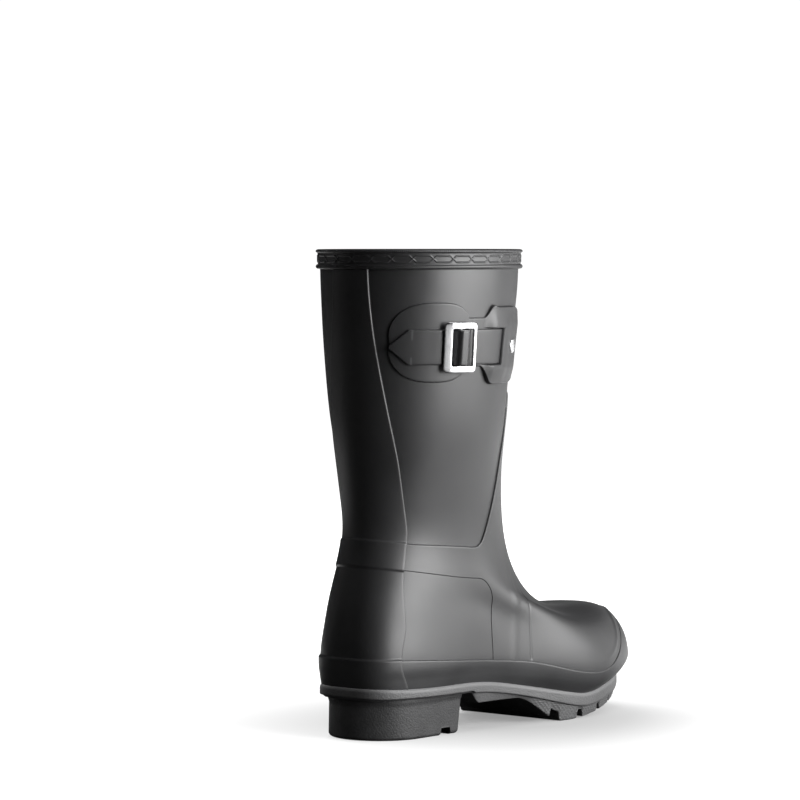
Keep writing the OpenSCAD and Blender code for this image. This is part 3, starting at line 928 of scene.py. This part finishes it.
def leg_frame(angle, out=0):
    """Frame on the leg at the strap's height: local x runs down, y to the toe and z outward."""
    u = level(STRAP_Z)
    origin = skin(u, -angle)
    z = outward(u, -angle)
    y = unit(np.array([-z[1], z[0], 0]))
    x = np.cross(y, z)
    return np.stack([x, y, z], 1), origin + out * z


# ---- Buckle and rivet ----

# Height, width and thickness of the frame, and the widths of its end bars and two side bars
FRAME_H = 31
FRAME_W = 22
FRAME_T = 2.4
END_BAR = 4.2
SIDE_BAR = 2.2
WIDE_BAR = 5
# Radii of its outer and inner corners, height of the bosses at the pin, and slope of the wide side bar
OUTER_R = 2.6
INNER_R = 1
BOSS = 0.55
BAR_SLOPE = 0.42


def rounded_outline(x0, x1, y0, y1, r):
    """Points around a rounded rectangle, with equal numbers along each corner and each side."""
    count = 14
    arcs = []
    centres = [(x1 - r, y1 - r), (x0 + r, y1 - r), (x0 + r, y0 + r), (x1 - r, y0 + r)]
    for k, (x, y) in enumerate(centres):
        turn = turns(90 * k, 90 * k + 90, count)
        arcs.append(np.stack([x + r * np.cos(turn), y + r * np.sin(turn)], -1))
    between = np.linspace(0, 1, count + 1)[1:-1, None]
    sides = [mix(arc[-1], following[0], between) for arc, following in zip(arcs, arcs[1:] + arcs[:1])]
    return np.concatenate([points for pair in zip(arcs, sides) for points in pair])


def add_buckle():
    """Cast frame with one wide side bar, soft edges and a small boss at each end of the pin."""
    axes, origin = leg_frame(BUCKLE_ANGLE, PIN_OUT)
    outer = rounded_outline(-FRAME_H / 2, FRAME_H / 2, -FRAME_W / 2, FRAME_W / 2, OUTER_R)
    hole_x = FRAME_H / 2 - END_BAR
    wide_y = WIDE_BAR - FRAME_W / 2
    inner = rounded_outline(-hole_x, hole_x, wide_y, FRAME_W / 2 - SIDE_BAR, INNER_R)
    boss = BOSS * hump(inner[:, 1], 0, 1.7) * (np.abs(inner[:, 0]) > hole_x - 0.5)
    inner[:, 0] -= np.sign(inner[:, 0]) * boss
    rings = []
    for turn in np.radians(circle(36)):
        c, s = math.cos(turn), math.sin(turn)
        share = 0.5 - 0.5 * np.sign(c) * abs(c) ** 0.45
        z = FRAME_T / 2 * np.sign(s) * abs(s) ** 0.6
        flat = mix(outer, inner, share)
        fall = BAR_SLOPE * np.maximum(wide_y - 0.3 - flat[:, 1], 0) * (0.5 + z / FRAME_T)
        local = np.concatenate([flat, (z - fall)[:, None]], 1)
        rings.append(origin + local @ axes.T)
    add_rings("buckle_frame_metal", rings, CHROME, ["buckle_frame"], "buckle", close=True)


SHAFT_R = 1.5
FLANGE_R = 4.55
DOME_R = 4.1
DOME_H = 0.5


def add_rivet():
    """Domed head with a thin flange, over its shaft."""
    top = BASE_T + STRAP_T + 3 * GAP + KEEPER_WALL
    profile = [(0, 0.4), (SHAFT_R, 0.4), (SHAFT_R, top - 0.6), (FLANGE_R - 0.25, top - 0.6),
               (FLANGE_R, top - 0.4), (FLANGE_R, top + 0.05), (FLANGE_R - 0.13, top + 0.22),
               (DOME_R, top + 0.3)]
    turn = np.linspace(0.1, math.pi / 2, 14)
    profile += zip(DOME_R * np.cos(turn), top + 0.3 + DOME_H * np.sin(turn))
    axes, origin = leg_frame(RIVET_ANGLE)
    turn = np.radians(circle(96))
    rings = []
    for r, z in profile:
        local = np.stack([r * np.cos(turn), r * np.sin(turn), np.full_like(turn, z)], -1)
        rings.append(origin + local @ axes.T)
    add_rings("rivet_metal", rings, CHROME, ["rivet"])


# ---- Sole, heel and insole ----

# Grooves across the tread: middle, width and depth
NOTCHES = [(81, 8.4, 5.6), (104.5, 6.4, 5.2), (127.5, 5.4, 4.6), (148.5, 4.0, 3.4), (166, 3.4, 2.6)]
# The band's roundings at its top, out and down, and at its foot, and the tread's inset from the band
TOP_ROUND = (1.9, 2.6)
FOOT_ROUND = 0.7
TREAD_INSET = 1.6


def tread_z(x):
    """Height of the sole's underside: heel seat, waist, tread and toe spring."""
    heel = mix(mix(HEEL_HIGH[2], WAIST_H, ease(6, 16, x)), 0, ease(50, 88, x))
    return heel + TOE_SPRING * (np.maximum(x - 95, 0) / 95) ** 1.3


def groove(x):
    """Depth of the grooves across the tread, which show as notches at its side."""
    depth = np.zeros_like(x)
    for centre, width, high in NOTCHES:
        wall = np.clip((width / 2 - np.abs(x - centre)) / 0.9, 0, 1)
        depth = np.maximum(depth, high * wall)
    return depth


def knurl(s, z):
    """Small diamond points."""
    return np.maximum(np.cos(np.pi * (s + z) / 1.5), 0) * np.maximum(np.cos(np.pi * (s - z) / 1.5), 0)


def midline(angle):
    """Point on the sole's middle line level with an angle."""
    return (skin(0.0, angle) + skin(0.0, -angle)) / 2


def outline_ring(angle, middle, out, z, share=0.0):
    """Ring `out` from the lowest ring's outline at the heights z, drawn in by a share to the middle line."""
    centre = np.stack([middle[:, 0], middle[:, 1], np.broadcast_to(z, angle.shape)], -1)
    return mix(edge_point(angle, out, z), centre, share)


def add_outsole():
    """Moulded sole: a band that stands out around the upper, and a tread with grooves set in below it."""
    angle = circle(1400)
    base = skin(0.0, angle)
    t = (1 + np.cos(np.radians(angle))) / 2
    s = lengths(base, 0)
    feather = base[:, 2]
    x = base[:, 0]
    under = tread_z(x)
    band = np.minimum(mix(6.2, 8.0, ease(0.45, 0.65, t)), feather - under - 1)
    bottom = under + np.minimum(groove(x), np.maximum(feather - band - under - 0.6, 0))
    middle = midline(angle)
    narrow = 0.5 * SOLE_LEDGE * ease(0.85, 1, t)
    rings = []

    def ring(out, z, share=0.0):
        rings.append(outline_ring(angle, middle, out - narrow, z, share))

    top = feather + 0.35
    round_out, round_down = TOP_ROUND
    for share in (1.0, 0.5, 0.0):
        ring(-2.0, feather - 0.4, share)
    ring(0.2, feather - 0.2)
    ring(SOLE_LEDGE - round_out - 0.4, top)
    for turn in turns(0, 90, 11):
        ring(SOLE_LEDGE - round_out * (1 - np.sin(turn)), top - round_down * (1 - np.cos(turn)))
    wall_low = feather - band
    for share in np.linspace(0.15, 1, 6):
        ring(SOLE_LEDGE, mix(top - round_down, wall_low + FOOT_ROUND, share))
    for turn in turns(20, 90, 4):
        ring(SOLE_LEDGE - FOOT_ROUND * (1 - np.cos(turn)), wall_low + FOOT_ROUND * (1 - np.sin(turn)))
    ring(SOLE_LEDGE - TREAD_INSET, wall_low - 0.05)
    textured = ease(58, 66, x)
    for share in np.linspace(0.04, 0.96, 15):
        z = mix(wall_low, bottom, share)
        ring(SOLE_LEDGE - TREAD_INSET - share + 0.45 * textured * knurl(s, z), z)
    tread_out = SOLE_LEDGE - TREAD_INSET - 1.5
    ring(tread_out, bottom)
    for share in np.linspace(0.04, 1, 14):
        ring(tread_out, bottom, share)
    add_rings("outsole_rubber", rings, SOLE, ["outsole"])


# The heel's groove: back, front and depth; the slope of its front, and radii of its corners and edge
HEEL_GROOVE = (-17.5, -8.0, 4.6)
BREAST_SLOPE = math.tan(math.radians(10.2))
HEEL_CORNER = 3
HEEL_EDGE_R = 2.2


def heel_outline(inset, z):
    """Points around the heel block at the height z, moved inward: a round back, straight sides and a
    flat front, which slopes back towards the ground."""
    radius = (HEEL_HIGH[1] - HEEL_LOW[1]) / 2
    back = HEEL_LOW[0] + radius
    front = HEEL_HIGH[0] - BREAST_SLOPE * (HEEL_HIGH[2] - z)
    r = radius - inset
    arc = turns(90, 270, 121)
    parts = [np.stack([back + r * np.cos(arc), r * np.sin(arc)], -1)]
    c = HEEL_CORNER - min(inset, HEEL_CORNER - 0.3)
    side_x = np.linspace(back, front - HEEL_CORNER, 90)[1:]
    parts.append(np.stack([side_x, np.full_like(side_x, -r)], -1))
    turn = turns(-90, 0, 9)[1:]
    centre = np.array([front - inset - c, -(r - c)])
    side_corner = centre + c * np.stack([np.cos(turn), np.sin(turn)], -1)
    parts.append(side_corner)
    face_y = np.linspace(side_corner[-1, 1], -side_corner[-1, 1], 60)[1:-1]
    parts.append(np.stack([np.full_like(face_y, front - inset), face_y], -1))
    parts.append(side_corner[::-1] * [1, -1])
    parts.append(np.stack([side_x[::-1], np.full_like(side_x, r)], -1)[:-1])
    return np.concatenate(parts)


def add_heel():
    """Heel with a round back, softly rounded bottom edge and one groove across."""
    height = HEEL_HIGH[2]
    start, end, depth = HEEL_GROOVE
    rings = []

    def ring(inset, z, share=0.0):
        flat = heel_outline(inset, z)
        x = flat[:, 0]
        cut = depth * np.clip(np.minimum(x - start, end - x) / 0.5, 0, 1)
        centre = np.stack([np.clip(x, HEEL_LOW[0] + 20, HEEL_HIGH[0] - 6), np.zeros_like(x)], -1)
        flat = mix(flat, centre, share)
        rings.append(np.concatenate([flat, np.maximum(z, cut)[:, None]], 1))

    for share in (1.0, 0.5, 0.0):
        ring(0.6, height + 1.0, share)
    ring(0.25, height + 0.95)
    for z in np.linspace(height + 0.6, 2.3, 22):
        lip = 0.7 * ease(height - 3.2, height - 2.2, z)
        ring(0.5 - lip - 0.4 * (height - z) / height, z)
    for turn in turns(12, 90, 8):
        ring(0.1 + HEEL_EDGE_R * (1 - np.cos(turn)), HEEL_EDGE_R * (1 - np.sin(turn)))
    for share in np.linspace(0.05, 1, 8):
        ring(HEEL_EDGE_R + 0.1, 0.0, share)
    add_rings("heel_block_rubber", rings, HEEL, ["heel_block"])


# The insole's inset from and height over the lowest ring, its edge's radius and its heel cup's depth
INSOLE_INSET = 6.5
INSOLE_LIFT = 4
INSOLE_EDGE_R = 1.2
CUP_DEPTH = 0.9


def add_insole():
    """Felt insole: soft edges, and a shallow cup under the heel."""
    angle = circle(420)
    middle = midline(angle)
    low = skin(0.0, angle)[:, 2] + INSOLE_LIFT
    rings = []

    def ring(out, z, share=0.0):
        rings.append(outline_ring(angle, middle, out, z, share))

    for share in (1.0, 0.7, 0.4, 0.15):
        ring(-INSOLE_INSET, low, share)
    ring(-INSOLE_INSET - 0.2, low)
    edge = -INSOLE_INSET - INSOLE_EDGE_R
    for turn in turns(0, 90, 8):
        ring(edge + INSOLE_EDGE_R * np.cos(turn), low + INSOLE_T - INSOLE_EDGE_R * (1 - np.sin(turn)))
    for share in np.linspace(0.06, 1, 16):
        cup = CUP_DEPTH * ease(0.0, 0.5, share) * (1 - ease(-10, 50, middle[:, 0]))
        ring(edge, low + INSOLE_T - cup, share)
    piece = add_rings("insole_felt_sheet", rings, FELT, ["insole"], body=None)
    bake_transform(piece)


# ---- Carried-over parts ----

NODE_MATERIALS = {
    "toe_puff": RUBBER,
    "buckle_chape": RUBBER,
    "midsole": SOLE,
    "shank": STEEL,
    "insole_board": BOARD,
    "buckle_pin": CHROME,
    "rivet_burr": CHROME,
}


def paint_nodes():
    for name, material in NODE_MATERIALS.items():
        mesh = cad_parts[name].data
        mesh.materials.clear()
        mesh.materials.append(material)


# ---- Stage ----

# From here on, lengths are in metres.
CAMERA_TURN = math.radians(-50)
LOOK = Vector((-math.sin(CAMERA_TURN), math.cos(CAMERA_TURN), 0))
RIGHT = Vector((math.cos(CAMERA_TURN), math.sin(CAMERA_TURN), 0))
# The floor as the camera sees it: how much light it returns, and its glow near the boot and farther out; the
# dim glow near the boot paints a soft shadow
FLOOR_TONE = 0.3
FLOOR_GLOW_WITH_PAINTED_SHADOW = (0.28, 1.1)
FLOOR_REACH = 12.0


def add_floor():
    """Floor that looks white, with a soft shadow near the boot, partly cast by the lamps and partly painted
    by dimming its glow near the boot. To everything but the camera it is dark, except on the side of
    the lights and just behind the boot."""
    mesh = bpy.data.meshes.new("floor")
    corner = Vector((FLOOR_REACH, FLOOR_REACH, 0))
    other = Vector((FLOOR_REACH, -FLOOR_REACH, 0))
    mesh.from_pydata([-corner, other, corner, -other], [], [(0, 1, 2, 3)])
    add_object("floor", mesh)
    paint = Paint("floor", Roughness=0.9, Specular_IOR_Level=0.0)
    seen = paint.node("LightPath").outputs["Is Camera Ray"]
    distance = paint.way((0.08, 0, 0), "DISTANCE")
    right, back = (paint.way(direction) for direction in (RIGHT, LOOK))
    beside = paint.band(right, 0.1, 0.5, 0.03, 0.8)
    near = paint.band(distance, 0.6, 1.0, 0.6, 0)
    behind = paint.times(paint.band(back, 0.08, 0.25, 0, 1), near)
    hidden = paint.math("MAXIMUM", beside, behind)
    shown = paint.times(paint.math("SUBTRACT", 1.0, seen), hidden)
    tone = paint.plus(shown, paint.times(seen, FLOOR_TONE))
    paint.colour(paint.blend(tone, (0, 0, 0), (1, 1, 1)))
    # Glow dimmed near the boot: a painted soft shadow, on top of the lamps' own shadows.
    glow_with_painted_shadow = paint.band(distance, 0.06, 0.3, *FLOOR_GLOW_WITH_PAINTED_SHADOW)
    paint.shader.inputs["Emission Color"].default_value = (1, 1, 1, 1)
    paint.link(paint.times(seen, glow_with_painted_shadow), paint.shader.inputs["Emission Strength"])
    mesh.materials.append(paint.material)


def set_world():
    """White behind the boot for the camera, and nearly dark for everything else."""
    world = bpy.data.worlds.new("studio")
    bpy.context.scene.world = world
    world.use_nodes = True
    tree = world.node_tree
    tree.nodes.clear()
    seen = tree.nodes.new("ShaderNodeLightPath").outputs["Is Camera Ray"]
    shades = []
    for strength in (0.002, 1.05):
        made = tree.nodes.new("ShaderNodeBackground")
        made.inputs["Color"].default_value = (1, 1, 1, 1)
        made.inputs["Strength"].default_value = strength
        shades.append(made.outputs["Background"])
    blend = tree.nodes.new("ShaderNodeMixShader")
    output = tree.nodes.new("ShaderNodeOutputWorld")
    for source, target in zip((seen, *shades), blend.inputs):
        tree.links.new(source, target)
    tree.links.new(blend.outputs["Shader"], output.inputs["Surface"])


def face(thing, place, target):
    """Puts a lamp or a camera at a place and turns it to a target."""
    thing.location = place
    thing.rotation_mode = "QUATERNION"
    thing.rotation_quaternion = (target - place).to_track_quat("-Z", "Y")


# Softboxes: degrees to the right of the camera as seen from the boot, degrees up, distance, width,
# height, radiance, and whether reflections show it
SOFTBOXES = {
    "front": (56, 15, 1.8, 1.2, 1.2, 13, True),
    "side": (88, 15, 1.8, 1.0, 1.2, 7.5, True),
    "rear": (128, 8, 1.8, 1.2, 0.8, 1, True),
    "back": (166, 3, 1.9, 1.0, 0.5, 0.4, True),
    "strip": (-106, 8, 1.8, 0.5, 1.0, 0.1, True),
    "top": (80, 72, 1.8, 0.9, 0.9, 4, True),
    "inner": (-160, 25, 1.8, 1.3, 1.0, 14, False),
    "inner_side": (-115, 25, 1.8, 1.3, 1.0, 5, False),
}


def add_softbox(name, turn, elevation, distance, width, tall, radiance, reflected):
    """Area light that faces the boot."""
    light = bpy.data.lights.new(name, "AREA")
    light.shape = "RECTANGLE"
    light.size = width
    light.size_y = tall
    light.energy = radiance * math.pi * width * tall
    lamp = add_object(name, light)
    lamp.visible_camera = False
    lamp.visible_glossy = reflected
    turn, elevation = math.radians(turn), math.radians(elevation)
    away = -LOOK * math.cos(turn) + RIGHT * math.sin(turn)
    away = away * math.cos(elevation) + Vector((0, 0, math.sin(elevation)))
    target = Vector((0.05, 0, 0.14))
    face(lamp, target + away * distance, target)


# The camera's distance from the leg's axis, its height, where it aims, and its view's width there
CAMERA_DISTANCE = 2.3
CAMERA_HEIGHT = 0.305
AIM_RIGHT = -0.01219
AIM_DROP = 0.09875
VIEW_WIDTH = 0.5


def add_camera():
    """Long view from behind the outer side."""
    aim = RIGHT * AIM_RIGHT + Vector((0, 0, CAMERA_HEIGHT - AIM_DROP))
    eye = -LOOK * CAMERA_DISTANCE + Vector((0, 0, CAMERA_HEIGHT))
    data = bpy.data.cameras.new("camera")
    data.sensor_width = 36
    data.lens = data.sensor_width * (aim - eye).length / VIEW_WIDTH
    camera = add_object("camera", data)
    face(camera, eye, aim)
    bpy.context.scene.camera = camera


add_sheet("leg_upper", JOIN, RIM - 0.01, 240)
add_sheet("foot_upper", 0.02, JOIN, 300)
add_lining("leg_lining", JOIN, RIM - 0.06, 200, LINING)
add_lining("foot_lining", 0.72, JOIN, 240, 2 * LINING)
add_overlay()
add_counters()
add_mudguard()
add_back_strip()
add_binding()
add_strap_base()
add_keeper()
add_strap()
add_buckle()
add_rivet()
add_outsole()
add_heel()
add_insole()
paint_nodes()
add_floor()
set_world()
for name, setting in SOFTBOXES.items():
    add_softbox(name, *setting)
add_camera()
bpy.context.scene.view_settings.view_transform = "Standard"
